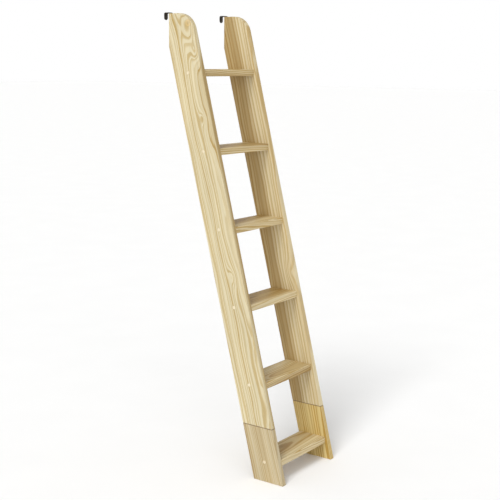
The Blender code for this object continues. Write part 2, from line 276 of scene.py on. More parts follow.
class Value:
    """What one socket gives. Numbers can be added, scaled and so on."""

    def __init__(self, wiring, socket):
        self.wiring = wiring
        self.socket = socket

    def __add__(self, other):
        return self.wiring.math("ADD", self, other)

    def __sub__(self, other):
        return self.wiring.math("SUBTRACT", self, other)

    def __rsub__(self, other):
        return self.wiring.math("SUBTRACT", other, self)

    def __mul__(self, other):
        return self.wiring.math("MULTIPLY", self, other)

    def __truediv__(self, other):
        return self.wiring.math("DIVIDE", self, other)

    def __pow__(self, other):
        return self.wiring.math("POWER", self, other)


class Wiring:
    """Adds nodes to one tree and joins them."""

    def __init__(self, tree):
        self.tree = tree

    def feed(self, socket, value):
        """Links a socket to a value of the tree, or sets it."""
        if isinstance(value, Value):
            self.tree.links.new(value.socket, socket)
        else:
            socket.default_value = value

    def add(self, kind, inputs=None, **settings):
        """A new node, with its settings and its inputs given by name or number."""
        node = self.tree.nodes.new(kind)
        for name, value in settings.items():
            setattr(node, name, value)
        for key, value in (inputs or {}).items():
            self.feed(node.inputs[key], value)
        return node

    def all_of(self, kind, inputs=None, **settings):
        """Every output of a new node, by name."""
        outputs = self.add(kind, inputs, **settings).outputs
        return {socket.name: Value(self, socket) for socket in outputs}

    def first_of(self, kind, inputs=None, **settings):
        """The first output of a new node."""
        return Value(self, self.add(kind, inputs, **settings).outputs[0])

    def math(self, operation, *values):
        return self.first_of("ShaderNodeMath", dict(enumerate(values)), operation=operation)

    def run(self, operation, values):
        """One operation taken along a list of values."""
        return functools.reduce(lambda first, second: self.math(operation, first, second), values)

    def vector(self, operation, *vectors):
        inputs = dict(enumerate(vectors))
        return self.first_of("ShaderNodeVectorMath", inputs, operation=operation)

    def hypot(self, x, y):
        """How far a place is from the middle of a plane."""
        inputs = {0: self.together(x, y, 0.0)}
        return self.all_of("ShaderNodeVectorMath", inputs, operation="LENGTH")["Value"]

    def ramp(self, value, start, end, low=0.0, high=1.0):
        """A smooth rise from low to high while the value goes from start to end."""
        inputs = {
            "Value": value,
            "From Min": start,
            "From Max": end,
            "To Min": low,
            "To Max": high,
        }
        return self.first_of("ShaderNodeMapRange", inputs, interpolation_type="SMOOTHSTEP")

    def apart(self, vector):
        return tuple(self.all_of("ShaderNodeSeparateXYZ", {0: vector}).values())

    def together(self, x, y, z):
        return self.first_of("ShaderNodeCombineXYZ", {0: x, 1: y, 2: z})

    def noise(self, vector, scale=1.0, detail=2.0, roughness=0.5, output=0):
        """Noise as a number, or as a colour from output 1."""
        inputs = {"Vector": vector, "Scale": scale, "Detail": detail, "Roughness": roughness}
        return Value(self, self.add("ShaderNodeTexNoise", inputs).outputs[output])

    def drawn_noise(self, vector, density, detail=2.0, roughness=0.5, output=0):
        """Noise with its own density along each axis."""
        place = self.vector("MULTIPLY", vector, density)
        return self.noise(place, 1.0, detail, roughness, output)

    def wobble(self, vector, density, detail, reach):
        """A smooth random shift, as a vector."""
        colour = self.drawn_noise(vector, density, detail, output=1)
        centred = self.vector("SUBTRACT", colour, (0.5, 0.5, 0.5))
        inputs = {"Vector": centred, "Scale": reach}
        return self.first_of("ShaderNodeVectorMath", inputs, operation="SCALE")

    def mix(self, factor, first, second, blend="MIX"):
        """Two colours mixed."""
        inputs = {0: factor, 6: first, 7: second}
        node = self.add("ShaderNodeMix", inputs, data_type="RGBA", blend_type=blend)
        return Value(self, node.outputs[2])

    def shaded(self, colour, shade):
        """A colour times one number."""
        return self.mix(1.0, colour, self.together(shade, shade, shade), "MULTIPLY")

    def bump(self, strength, distance, height):
        inputs = {"Strength": strength, "Distance": distance, "Height": height}
        return self.first_of("ShaderNodeBump", inputs)

    def boolean(self, operation, shapes, inputs=None):
        """Shapes run into one, or taken out of the shape that Mesh 1 gives."""
        kind = "GeometryNodeMeshBoolean"
        node = self.add(kind, inputs, operation=operation, solver="EXACT")
        for shape in shapes:
            self.feed(node.inputs["Mesh 2"], shape)
        return Value(self, node.outputs["Mesh"])


FLOAT = "NodeSocketFloat"
VECTOR = "NodeSocketVector"
COLOUR = "NodeSocketColor"
SHAPE = "NodeSocketGeometry"
MATERIAL = "NodeSocketMaterial"
NUMBER_SOCKETS = {bool: "NodeSocketBool", int: "NodeSocketInt", float: FLOAT}


def add_socket(tree, direction, label, default):
    """A named socket of a node group, given by its default or, where it has none, by its type."""
    if isinstance(default, str):
        tree.interface.new_socket(label, in_out=direction, socket_type=default)
        return
    if isinstance(default, tuple):
        kind = COLOUR if len(default) == len(WHITE) else VECTOR
    else:
        kind = NUMBER_SOCKETS[type(default)]
    socket = tree.interface.new_socket(label, in_out=direction, socket_type=kind)
    socket.default_value = default


def new_group(name, kind, inputs, outputs):
    """An empty node group. Returns its tree, its wiring and its inputs by name."""
    tree = bpy.data.node_groups.new(name, kind)
    for direction, sockets in (("INPUT", inputs), ("OUTPUT", outputs)):
        for label, default in sockets.items():
            add_socket(tree, direction, label, default)
    wiring = Wiring(tree)
    return tree, wiring, wiring.all_of("NodeGroupInput")


# Knots, which part the growth lines round them
KNOT_SLOTS = (1, 2, 3, 4)  # how many a board can have
OFF_THE_BOARD = (0.0, -9.0, 0.01)  # where a knot lies that a board doesn't have
KNOT_REACH = 3.5  # distance over which lines part, in the knot's radii
KNOT_PUSH = 3.4  # how far the nearest line is pushed, in the knot's radii
KNOT_FALL = 1.3  # power by which the push dies away
KNOT_FLOW = 0.45  # what a length along the board counts for in the parting
KNOT_OVAL = 0.92  # what it counts for in the knot's own outline
KNOT_EDGE = 0.004  # unevenness of that outline, in metres


def knot_group():
    """How far one knot pushes the growth lines aside, and where the knot itself shows."""
    tree, w, source = new_group(
        "knot",
        "ShaderNodeTree",
        {"Place": VECTOR, "Knot": VECTOR, "Show": 1.0},
        {"Bulge": FLOAT, "Core": FLOAT, "Distance": FLOAT},
    )
    _, place_across, place_along = w.apart(source["Place"])
    across, along, radius = w.apart(source["Knot"])
    side, length = place_across - across, place_along - along
    reach = w.hypot(side, length * KNOT_FLOW) / (radius * KNOT_REACH)
    uneven = (w.noise(source["Place"], 140.0) - 0.5) * KNOT_EDGE
    distance = (w.hypot(side, length * KNOT_OVAL) + uneven) / radius
    outputs = {
        "Bulge": radius * KNOT_PUSH / (reach * reach + 1.0) ** KNOT_FALL,
        "Core": w.ramp(distance, 1.12, 0.84) * source["Show"],
        "Distance": distance,
    }
    w.add("NodeGroupOutput", outputs)
    return tree


# Densities of the wood's noises: through a board, across it and along it
DRIFT = (9.0, 9.0, 2.4)
RIPPLE = (60.0, 60.0, 9.0)
CLOUD = (16.0, 16.0, 2.2)
STREAK = (260.0, 260.0, 3.5)
FIBRE = (1300.0, 1300.0, 22.0)
SPECK = (1900.0, 1900.0, 120.0)
RIPPLE_REACH = 0.0042  # in metres
RING_CHANGE = 0.45  # how quickly ring widths change from one year to the next
RING_UNEVENNESS = 2.0  # how far the lines stray from even widths, in rings
BAND_STRENGTH = 0.40  # how tan the broad bands of narrow rings are
HEART_WANDER = 0.02  # in metres
HEART_EDGE = 0.012  # half of the width over which heartwood gives way, in metres
SPECK_SHADE = -0.28
KNOT_RINGS = 19.0  # radians of light and dark in one knot radius
BARK_SHADE = 0.35  # darkness of the ring of bark round a knot


def pine_group(pine):
    """Growth lines of a board sawn from a log, with knots, fibres and resin specks.

    Place is measured from the board's middle: through its thickness, across it, and along it."""
    inputs = {
        "Place": VECTOR,
        "Pith": (0.05, 0.0, 0.0),
        "Ring width": 0.0055,
        "First year": 0.0,
        "Taper": 0.012,
        "Wander": 0.014,
        "Heart radius": 0.05,
        "Contrast": 1.0,
        "Tint": WHITE,
        **{f"Knot {slot}": OFF_THE_BOARD for slot in KNOT_SLOTS},
        **{f"Show {slot}": 0.0 for slot in KNOT_SLOTS},
    }
    outputs = {"Colour": COLOUR, "Roughness": FLOAT, "Height": FLOAT}
    tree, w, source = new_group("pine", "ShaderNodeTree", inputs, outputs)
    sapwood, latewood, heartwood, knot = (
        (*tone, 1.0) for tone in (pine.sapwood, pine.latewood, pine.heartwood, pine.knot)
    )
    place = source["Place"]
    drift = w.wobble(place, DRIFT, 2.0, source["Wander"])
    ripple = w.wobble(place, RIPPLE, 3.0, RIPPLE_REACH)
    moved = w.vector("ADD", w.vector("ADD", place, drift), ripple)
    through, across, _ = w.apart(w.vector("SUBTRACT", moved, source["Pith"]))
    radius = w.hypot(through, across) + w.apart(place)[2] * source["Taper"]

    knot_tree = knot_group()
    knots = []
    for slot in KNOT_SLOTS:
        inputs = {"Place": place, "Knot": source[f"Knot {slot}"], "Show": source[f"Show {slot}"]}
        knots.append(w.all_of("ShaderNodeGroup", inputs, node_tree=knot_tree))
    core = w.run("MAXIMUM", [found["Core"] for found in knots])
    nearest = w.run("MINIMUM", [found["Distance"] for found in knots])
    radius += w.run("ADD", [found["Bulge"] for found in knots])

    rings = radius / source["Ring width"] + source["First year"]
    inputs = {"W": rings * RING_CHANGE, "Scale": 1.0, "Detail": 2.0}
    unevenness = w.first_of("ShaderNodeTexNoise", inputs, noise_dimensions="1D")
    rings += unevenness * RING_UNEVENNESS
    inputs = {"W": w.math("FLOOR", rings)}
    year = w.first_of("ShaderNodeTexWhiteNoise", inputs, noise_dimensions="1D")
    phase = w.math("FRACT", rings)
    season = w.ramp(phase, 0.28, 0.86) * w.ramp(phase, 1.0, 0.92)
    season *= w.ramp(year, 0.0, 1.0, 0.30, 1.05)
    season *= source["Contrast"]

    fibre, streak, cloud = (w.drawn_noise(place, density) for density in (FIBRE, STREAK, CLOUD))
    speck = w.ramp(w.drawn_noise(place, SPECK, 0.0), 0.73, 0.80)
    speck *= w.ramp(season, 0.1, 0.6, 0.25, 1.0)
    heart_edge = cloud * HEART_WANDER + source["Heart radius"]
    heart = w.ramp(radius - heart_edge, HEART_EDGE, -HEART_EDGE)
    band = w.ramp(unevenness, 0.50, 0.68) * BAND_STRENGTH
    colour = w.mix(season, w.mix(band, sapwood, latewood), latewood)
    colour = w.mix(heart, colour, heartwood, "MULTIPLY")
    shade = w.ramp(streak, 0.25, 0.75, 0.93, 1.05) + w.ramp(fibre, 0.2, 0.8, -0.05, 0.05)
    shade *= w.ramp(cloud, 0.25, 0.75, 0.94, 1.05)
    colour = w.shaded(colour, shade + speck * SPECK_SHADE)

    knot_shade = w.math("SINE", nearest * KNOT_RINGS) * 0.10 + w.ramp(nearest, 0.0, 0.9, 1.05, 1.7)
    bark = 1.0 - w.ramp(nearest, 0.80, 0.95) * BARK_SHADE
    colour = w.mix(core, colour, w.shaded(knot, knot_shade * bark))
    outputs = {
        "Colour": w.mix(1.0, colour, source["Tint"], "MULTIPLY"),
        "Roughness": fibre * 0.10 - season * 0.10 + (pine.roughness - 0.01),
        "Height": fibre * 0.35 + season * 0.55 - speck * 0.5,
    }
    w.add("NodeGroupOutput", outputs)
    return tree


def new_material(name):
    """A material with only its shader. Returns it, its wiring and its object coordinates."""
    material = bpy.data.materials.new(name)
    material.use_nodes = True
    wiring = Wiring(material.node_tree)
    return material, wiring, wiring.all_of("ShaderNodeTexCoord")["Object"]


def coat(material, wiring, inputs):
    """Sets or links inputs of a material's shader. Returns the material."""
    shader = material.node_tree.nodes["Principled BSDF"]
    for name, value in inputs.items():
        wiring.feed(shader.inputs[name], value)
    return material


# The dark line along each seam is partly end grain that has soaked up lacquer and partly painted
# shadow of the gap between the two boards.
SEAM_GRAIN_AND_SHADE_LINE = (0.0010, 0.0024)  # half widths of the dark seam line, full and fading
SEAM_GRAIN_AND_SHADE_STRENGTH = 0.75
SEAM_GRAIN_AND_SHADE_COLOUR = (0.17, 0.105, 0.05, 1.0)


def pine_material(name, pine, turn, centre, grain, seam=None):
    """Pine for one board. turn brings its length to Z, and centre is its middle after the turn.

    The end grain at a seam, given by its height, is dark where it has soaked up lacquer, and
    painted shadow of the gap between the boards darkens the same line."""
    tree = bpy.data.node_groups.get("pine") or pine_group(pine)
    material, w, coordinates = new_material(name)
    inputs = {"Vector": coordinates, "Rotation": turn, "Location": [-value for value in centre]}
    place = w.first_of("ShaderNodeMapping", inputs, vector_type="POINT")
    wood = w.all_of("ShaderNodeGroup", {"Place": place, **grain}, node_tree=tree)
    colour = wood["Colour"]
    if seam is not None:
        # Painted shadow of the seam's gap, over the darker end grain.
        full, faded = SEAM_GRAIN_AND_SHADE_LINE
        from_seam = w.math("ABSOLUTE", w.apart(coordinates)[2] - seam)
        colour = w.mix(w.ramp(from_seam, faded, full, 0.0, SEAM_GRAIN_AND_SHADE_STRENGTH), colour, SEAM_GRAIN_AND_SHADE_COLOUR)
    inputs = {
        "Base Color": colour,
        "Roughness": wood["Roughness"],
        "Normal": w.bump(0.6, pine.relief, wood["Height"]),
        "Specular IOR Level": 0.35,
    }
    return coat(material, w, inputs)


def turned_wood_material(name, pale, dark, density):
    """Close-grained wood for plugs and dowels, with fibres along the axis of least density."""
    material, w, coordinates = new_material(name)
    fibre = w.drawn_noise(coordinates, density, 3.0, 0.6)
    tone = w.noise(coordinates, 90.0) * 0.5 + fibre * 0.5
    inputs = {
        "Base Color": w.mix(w.ramp(tone, 0.35, 0.68), (*pale, 1.0), (*dark, 1.0)),
        "Roughness": w.ramp(fibre, 0.2, 0.8, 0.45, 0.62),
        "Normal": w.bump(0.5, 0.0001, fibre),
    }
    return coat(material, w, inputs)


def zinc_material(colour):
    """Bright zinc plate with fine turning marks and dull patches."""
    material, w, coordinates = new_material("zinc_steel")
    patches = w.noise(coordinates, 420.0, 3.0)
    marks = w.drawn_noise(coordinates, (2600.0, 900.0, 900.0))
    shade = w.ramp(patches, 0.3, 0.7, 0.78, 1.08)
    cool = w.together(shade, shade, shade + 0.02)
    inputs = {
        "Base Color": w.mix(1.0, (*colour, 1.0), cool, "MULTIPLY"),
        "Metallic": 1.0,
        "Roughness": w.ramp(patches, 0.3, 0.7, 0.42, 0.26),
        "Normal": w.bump(0.25, 0.00005, marks),
    }
    return coat(material, w, inputs)


def dark_steel_material(hooks):
    """Dark oiled steel, rubbed brown in patches, with a fine mill grain."""
    material, w, coordinates = new_material("dark_steel")
    patches = w.noise(coordinates, 170.0, 4.0, 0.6)
    grain = w.drawn_noise(coordinates, (2400.0, 300.0, 300.0))
    dark, worn = (*hooks.colour, 1.0), (*hooks.worn_colour, 1.0)
    inputs = {
        "Base Color": w.mix(w.ramp(patches, 0.45, 0.75), dark, worn),
        "Metallic": 0.75,
        "Roughness": w.ramp(patches, 0.3, 0.75, 0.5, 0.33),
        "Normal": w.bump(0.3, 0.00008, grain),
    }
    return coat(material, w, inputs)


def floor_material(colour):
    """Matt paper with a faint mottle."""
    material, w, coordinates = new_material("floor_paper")
    shade = w.ramp(w.noise(coordinates, 3.0, 3.0), 0.3, 0.7, 0.99, 1.0)
    inputs = {
        "Base Color": w.shaded((*colour, 1.0), shade),
        "Roughness": 0.9,
        "Specular IOR Level": 0.1,
    }
    return coat(material, w, inputs)


# Shapes


def new_object(name, data):
    made = bpy.data.objects.new(name, data)
    bpy.context.scene.collection.objects.link(made)
    return made


def mesh_from(name, work):
    """Ends a bmesh as a mesh."""
    mesh = bpy.data.meshes.new(name)
    work.to_mesh(mesh)
    work.free()
    return mesh


def apply_modifiers(piece):
    """Turns an object's modifiers into plain mesh."""
    evaluated = piece.evaluated_get(bpy.context.evaluated_depsgraph_get())
    mesh = bpy.data.meshes.new_from_object(evaluated)
    piece.modifiers.clear()
    old = piece.data
    piece.data = mesh
    bpy.data.meshes.remove(old)
    mesh.name = piece.name
    return mesh


def bake_shape(piece, material):
    """Ends a piece as plain mesh with its material, crisp at its edges and smooth elsewhere."""
    mesh = apply_modifiers(piece)
    mesh.materials.clear()
    mesh.materials.append(material)
    mesh.polygons.foreach_set("use_smooth", [True] * len(mesh.polygons))
    mesh.set_sharp_from_angle(angle=CREASE_ANGLE)


def hand_over(piece, slot, *nodes):
    """Gives a finished piece to the frame in place of its CAD nodes."""
    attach(piece, BODY)
    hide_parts(*nodes)


def finish_bored(piece, bores, material, slot, node):
    """Takes a bmesh of bores out of a piece, finishes it and hands it over."""
    bmesh.ops.recalc_face_normals(bores, faces=bores.faces)
    cutter = new_object(f"{piece.name}_bores", mesh_from(f"{piece.name}_bores", bores))
    boolean = piece.modifiers.new("bores", "BOOLEAN")
    boolean.operation = "DIFFERENCE"
    boolean.solver = "EXACT"
    boolean.object = cutter
    bake_shape(piece, material)
    bpy.data.objects.remove(cutter)
    even = piece.modifiers.new("flat faces stay flat", "WEIGHTED_NORMAL")
    even.keep_sharp = True
    apply_modifiers(piece)
    hand_over(piece, slot, node)


def arc(centre, radius, start, end, segments):
    """Points on a circle from one angle to another, in order."""
    return [
        (
            centre[0] + radius * math.cos(start + (end - start) * i / segments),
            centre[1] + radius * math.sin(start + (end - start) * i / segments),
        )
        for i in range(segments + 1)
    ]


def add_prism(work, near, far):
    """Adds a closed shape between two outlines that match corner for corner."""
    near = [work.verts.new(corner) for corner in near]
    far = [work.verts.new(corner) for corner in far]
    work.faces.new(near)
    work.faces.new(list(reversed(far)))
    for i in range(len(near)):
        j = (i + 1) % len(near)
        work.faces.new((near[i], far[i], far[j], near[j]))


def add_turned(work, profile, place, axis, segments=TURN_SEGMENTS):
    """Adds a closed turned shape from (radius, height) pairs, the first and last on its axis."""
    turn = UP.rotation_difference(axis).to_matrix()
    rings = []
    for radius, height in profile:
        count = segments if radius > 0 else 1
        ring = []
        for i in range(count):
            angle = 2 * math.pi * i / segments
            spot = Vector((radius * math.cos(angle), radius * math.sin(angle), height))
            ring.append(work.verts.new(turn @ spot + place))
        rings.append(ring)
    for upper, lower in zip(rings, rings[1:]):
        for i in range(segments):
            j = (i + 1) % segments
            corners = [upper[i % len(upper)], lower[i % len(lower)]]
            corners += [lower[j % len(lower)], upper[j % len(upper)]]
            work.faces.new(list(dict.fromkeys(corners)))


# Places and sizes of CAD nodes


def both_sides(kind, marks):
    """The nodes of one kind, each with the way that is outward on its side."""
    return {f"{side}_{kind}_{mark}": outward(side) for side in SIDES for mark in marks}


def centre_of(node):
    low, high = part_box(node)
    return (low + high) / 2


def outward(side):
    return ACROSS * SIDES[side]


def unsigned(axis):
    return Vector([abs(value) for value in axis])


def outer_end(node, axis):
    """The middle of a node's end that faces along an axis."""
    low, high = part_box(node)
    half = (high - low) / 2
    return (low + high) / 2 + axis * half.dot(unsigned(axis))


def sizes_along(node, axis):
    """(radius, length) of a round node that lies along an axis."""
    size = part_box(node)[1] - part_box(node)[0]
    length = size.dot(unsigned(axis))
    return (size.x + size.y + size.z - length) / 4, length


# Bores


def screw_bore(work, side, number):
    """The pocket for a plug and the bore for the screw behind it."""
    axis = outward(side)
    plug, screw = f"{side}_plug_{number}", f"{side}_step_screw_{number}"
    pocket = sizes_along(plug, axis)[0] + CLEARANCE
    head, length = sizes_along(screw, axis)
    head += CLEARANCE
    head_top = outer_end(screw, axis)
    opening = (outer_end(plug, axis) - head_top).dot(axis) + BORE_MARGIN
    shoulder = -SCREW_HEAD_DEPTH - CLEARANCE
    shank = SCREW_SHANK + CLEARANCE
    end = -length - CLEARANCE
    profile = [(0, opening), (pocket, opening), (pocket, 0), (head, 0)]
    profile += [(head, shoulder), (shank, shoulder), (shank, end), (0, end)]
    add_turned(work, profile, head_top, axis)


def dowel_bore(work, node, axis):
    """The bore for a dowel, in both of the boards that it joins."""
    radius, length = sizes_along(node, axis)
    radius += CLEARANCE
    half = length / 2 + CLEARANCE
    profile = [(0, half), (radius, half), (radius, -half), (0, -half)]
    add_turned(work, profile, centre_of(node), axis, DOWEL_BORE_SEGMENTS)


def step_bores(work, side, number):
    """What holds one end of a step: its plug, its screw and its dowel."""
    screw_bore(work, side, number)
    dowel_bore(work, f"{side}_step_dowel_{number}", ACROSS)


def hook_screw_bores(work, side):
    """The countersunk bores for a hook's screws."""
    for number in HOOK_SCREW_NUMBERS:
        node = f"{side}_hook_screw_{number}"
        head, length = sizes_along(node, BACK)
        shank = head / 2 + CLEARANCE
        head += CLEARANCE
        rim, end = -HOOK_SCREW_LIP - CLEARANCE, -length - CLEARANCE
        profile = [(0, BORE_MARGIN), (head, BORE_MARGIN), (head, rim)]
        profile += [(shank, rim - (head - shank)), (shank, end), (0, end)]
        add_turned(work, profile, outer_end(node, BACK), BACK)


def hook_groove(work, side):
    """The groove for a hook's leg, open at the back and the top and round at its lower end."""
    low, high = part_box(f"{side}_hook")
    middle = (low.x + high.x) / 2
    half = (high.x - low.x) / 2
    outer = half + CLEARANCE
    outline = arc((middle, low.z + half), outer, math.pi, 2 * math.pi, GROOVE_SEGMENTS)
    outline += [(middle + half + CLEARANCE, high.z), (middle - half - CLEARANCE, high.z)]
    front, back = low.y - CLEARANCE, BACK_Y + BORE_MARGIN
    add_prism(work, *([(x, y, z) for x, z in outline] for y in (front, back)))


# Side boards


def board_edges(boards):
    """The lines of a side board's front and back edges, as functions of height."""
    knee = RAIL_TOP - boards.back_land
    footprint = boards.breadth / math.cos(LEAN)

    def back(height):
        return BACK_Y - max(0.0, knee - height) * SLOPE

    def front(height):
        return BACK_Y - (knee - height) * SLOPE - footprint

    return front, back, knee


def rail_outline(boards, bottom):
    """A rail in side view, up its front edge, round the top corner and down its back."""
    front, back, knee = board_edges(boards)
    radius = boards.top_rounding
    centre_z = RAIL_TOP - radius
    centre = (front(centre_z) + radius / math.cos(LEAN), centre_z)
    corner = arc(centre, radius, math.pi - LEAN, math.pi / 2, CORNER_SEGMENTS)
    down = [(BACK_Y, RAIL_TOP), (BACK_Y, knee), (back(bottom), bottom)]
    return [(front(bottom), bottom), *corner, *down]


def foot_outline(boards, top):
    """A foot section in side view."""
    front, back, _ = board_edges(boards)
    return [(front(0), 0), (front(top), top), (back(top), top), (back(0), 0)]


def side_board(name, outline, low_x, high_x, seam, boards):
    """A board cut to an outline, with eased edges and a finer easing along its seam."""
    work = bmesh.new()
    weights = work.edges.layers.float.new("bevel_weight_edge")
    add_prism(work, *([(x, y, z) for y, z in outline] for x in (low_x, high_x)))
    bmesh.ops.recalc_face_normals(work, faces=work.faces)
    for edge in work.edges:
        if edge.calc_face_angle() < SHARP_ANGLE:
            continue
        at_seam = [abs(vert.co.z - seam) < WELD for vert in edge.verts]
        crosswise = abs(edge.verts[0].co.x - edge.verts[1].co.x) > WELD
        fine = all(at_seam) or (any(at_seam) and crosswise)
        edge[weights] = boards.seam_easing / boards.easing if fine else 1.0
    board = new_object(name, mesh_from(name, work))
    easing = board.modifiers.new("eased edges", "BEVEL")
    easing.width = boards.easing
    easing.segments = EASING_SEGMENTS
    easing.limit_method = "WEIGHT"
    return board


# Shapes made by node trees


def new_shape_group(name, inputs):
    """An empty tree that makes a shape and gives it a material."""
    inputs = {"Geometry": SHAPE, **inputs, "Material": MATERIAL}
    return new_group(name, "GeometryNodeTree", inputs, {"Geometry": SHAPE})


def finish_tree(w, source, shape):
    """Ends a tree with realised geometry and its material."""
    real = w.first_of("GeometryNodeRealizeInstances", {0: shape})
    inputs = {"Geometry": real, "Material": source["Material"]}
    w.add("NodeGroupOutput", {"Geometry": w.first_of("GeometryNodeSetMaterial", inputs)})


def add_shape_modifier(piece, tree, values):
    """Puts a node tree on a piece, with its inputs set by their identifiers."""
    modifier = piece.modifiers.new(tree.name, "NODES")
    modifier.node_group = tree
    for item in tree.interface.items_tree:
        if item.in_out == "INPUT" and item.name in values:
            modifier[item.identifier] = values[item.name]


def tread_tree():
    """A flat tread with rounded long edges, set on the slope that all the treads climb."""
    inputs = {
        "Number": 1,
        "Length": 0.344,
        "Depth": 0.13,
        "Thickness": 0.028,
        "Edge rounding": 0.0025,
        "Lowest middle": (0.0, 0.0, 0.0),
        "Rise": 0.314,
        "Slope": 0.25,
    }
    tree, w, source = new_shape_group("tread", inputs)
    inputs = {"Width": source["Depth"], "Height": source["Thickness"]}
    section = w.first_of("GeometryNodeCurvePrimitiveQuadrilateral", inputs, mode="RECTANGLE")
    inputs = {"Curve": section, "Radius": source["Edge rounding"], "Count": EASING_SEGMENTS}
    rounded = w.first_of("GeometryNodeFilletCurve", inputs, mode="POLY")
    inputs = {"End": w.together(0.0, 0.0, source["Length"])}
    line = w.first_of("GeometryNodeCurvePrimitiveLine", inputs, mode="POINTS")
    inputs = {"Curve": line, "Profile Curve": rounded, "Fill Caps": True}
    swept = w.first_of("GeometryNodeCurveToMesh", inputs)
    above = (source["Number"] - 1.0) * source["Rise"]
    climb = w.together(0.0, above * source["Slope"], above)
    inputs = {
        "Geometry": lowered(w, swept, source["Length"] * 0.5),
        "Rotation": (math.pi / 2, 0.0, math.pi / 2),
        "Translation": w.vector("ADD", climb, source["Lowest middle"]),
    }
    finish_tree(w, source, w.first_of("GeometryNodeTransform", inputs))
    return tree


def stand_on_points(w, source, shape):
    """Copies a shape that points up its own Z to every point, facing each point's direction."""
    kind = "GeometryNodeInputNamedAttribute"
    facing = w.first_of(kind, {"Name": "facing"}, data_type="FLOAT_VECTOR")
    turn = w.first_of("FunctionNodeAlignRotationToVector", {"Vector": facing}, axis="Z")
    inputs = {"Points": source["Geometry"], "Instance": shape, "Rotation": turn}
    return w.first_of("GeometryNodeInstanceOnPoints", inputs)


def chamfered_end(w, shape, selection, chamfer, radius):
    """Draws one flat end of a shape out by a chamfer."""
    inputs = {"Mesh": shape, "Selection": selection, "Offset Scale": chamfer}
    drawn = w.all_of("GeometryNodeExtrudeMesh", inputs, mode="FACES")
    share = (radius - chamfer) / radius
    inputs = {"Geometry": drawn["Mesh"], "Selection": drawn["Top"], "Scale": share}
    return w.first_of("GeometryNodeScaleElements", inputs)


def lowered(w, shape, distance):
    """A shape moved down its own axis."""
    inputs = {"Geometry": shape, "Translation": w.together(0.0, 0.0, distance * -1.0)}
    return w.first_of("GeometryNodeTransform", inputs)


def plug_tree():
    """Round plugs with a chamfer round the face, each hung from a point on its outer face."""
    inputs = {"Radius": 0.007, "Thickness": 0.0045, "Chamfer": 0.0006}
    tree, w, source = new_shape_group("plugs", inputs)
    radius, chamfer = source["Radius"], source["Chamfer"]
    body = source["Thickness"] - chamfer
    inputs = {"Vertices": PLUG_SIDES, "Radius": radius, "Depth": body}
    disc = w.all_of("GeometryNodeMeshCylinder", inputs, fill_type="NGON")
    shape = chamfered_end(w, disc["Mesh"], disc["Top"], chamfer, radius)
    shape = lowered(w, shape, body * 0.5 + chamfer)
    finish_tree(w, source, stand_on_points(w, source, shape))
    return tree


def dowel_tree():
    """Fluted dowels with chamfered ends, each centred on a point."""
    inputs = {
        "Radius": 0.004,
        "Length": 0.035,
        "Chamfer": 0.001,
        "Flutes": 20,
        "Flute depth": 0.0003,
    }
    tree, w, source = new_shape_group("dowels", inputs)
    radius, chamfer, flutes = source["Radius"], source["Chamfer"], source["Flutes"]
    inputs = {
        "Vertices": flutes * 4.0,
        "Radius": radius,
        "Depth": source["Length"] - chamfer * 2.0,
    }
    rod = w.all_of("GeometryNodeMeshCylinder", inputs, fill_type="NGON")
    position = w.first_of("GeometryNodeInputPosition")
    x, y, _ = w.apart(position)
    wave = w.math("COSINE", w.math("ARCTAN2", y, x) * flutes)
    share = 1.0 - w.ramp(wave, -0.2, 0.6) * source["Flute depth"] / radius
    moved = w.vector("MULTIPLY", position, w.together(share, share, 1.0))
    inputs = {"Geometry": rod["Mesh"], "Position": moved}
    shape = w.first_of("GeometryNodeSetPosition", inputs)
    for end in ("Top", "Bottom"):
        shape = chamfered_end(w, shape, rod[end], chamfer, radius)
    finish_tree(w, source, stand_on_points(w, source, shape))
    return tree


# Screws
RIM_SHARE = 0.12  # height of the upright rim, of the head's depth
FLARE_SHARE = 0.985  # radius at the top of the flare, of the rim's radius
SHANK_START = 0.7  # how deep in the head the shank starts, of the head's depth
RIDGE = (0.34, 0.04)  # from the middle of the thread: where its root and its crest are, in turns
THREAD_START = 0.0008  # length over which the thread begins, in metres
POINT_SHARE = 0.25  # what is left of the radius at the very point
RECESS_ARM = 0.42  # width of a cross's arm, in recess radii
SCREW_WELD = 0.00001  # in metres


def screw_tree():
    """Threaded screws with a recessed head, each hung from a point at the top of its head."""
    inputs = {
        "Length": 0.06,
        "Head radius": 0.005,
        "Head foot radius": 0.005,
        "Head depth": 0.004,
        "Radius": 0.0035,
        "Thread depth": 0.001,
        "Pitch": 0.003,
        "Plain length": 0.02,
        "Point length": 0.004,
        "Recess radius": 0.0023,
        "Recess depth": 0.0022,
        "Cross recess": False,
        "Rows": 110,
    }
    tree, w, source = new_shape_group("screws", inputs)
    head_radius, head_depth = source["Head radius"], source["Head depth"]
    lip = head_depth * RIM_SHARE
    inputs = {"Vertices": HEAD_SIDES, "Radius": head_radius, "Depth": lip}
    rim = lowered(w, w.first_of("GeometryNodeMeshCylinder", inputs), lip * 0.5)
    inputs = {
        "Vertices": HEAD_SIDES,
        "Radius Top": head_radius * FLARE_SHARE,
        "Radius Bottom": source["Head foot radius"],
        "Depth": head_depth - lip * 0.5,
    }
    flare = lowered(w, w.first_of("GeometryNodeMeshCone", inputs), head_depth)
    whole = w.boolean("UNION", [rim, flare, threaded_rod(w, source)])
    inputs = {"Mesh 1": whole, "Self Intersection": True}
    cut = w.boolean("DIFFERENCE", [recess_shape(w, source)], inputs)
    inputs = {"Geometry": cut, "Distance": SCREW_WELD}
    welded = w.first_of("GeometryNodeMergeByDistance", inputs)
    finish_tree(w, source, stand_on_points(w, source, welded))
    return tree


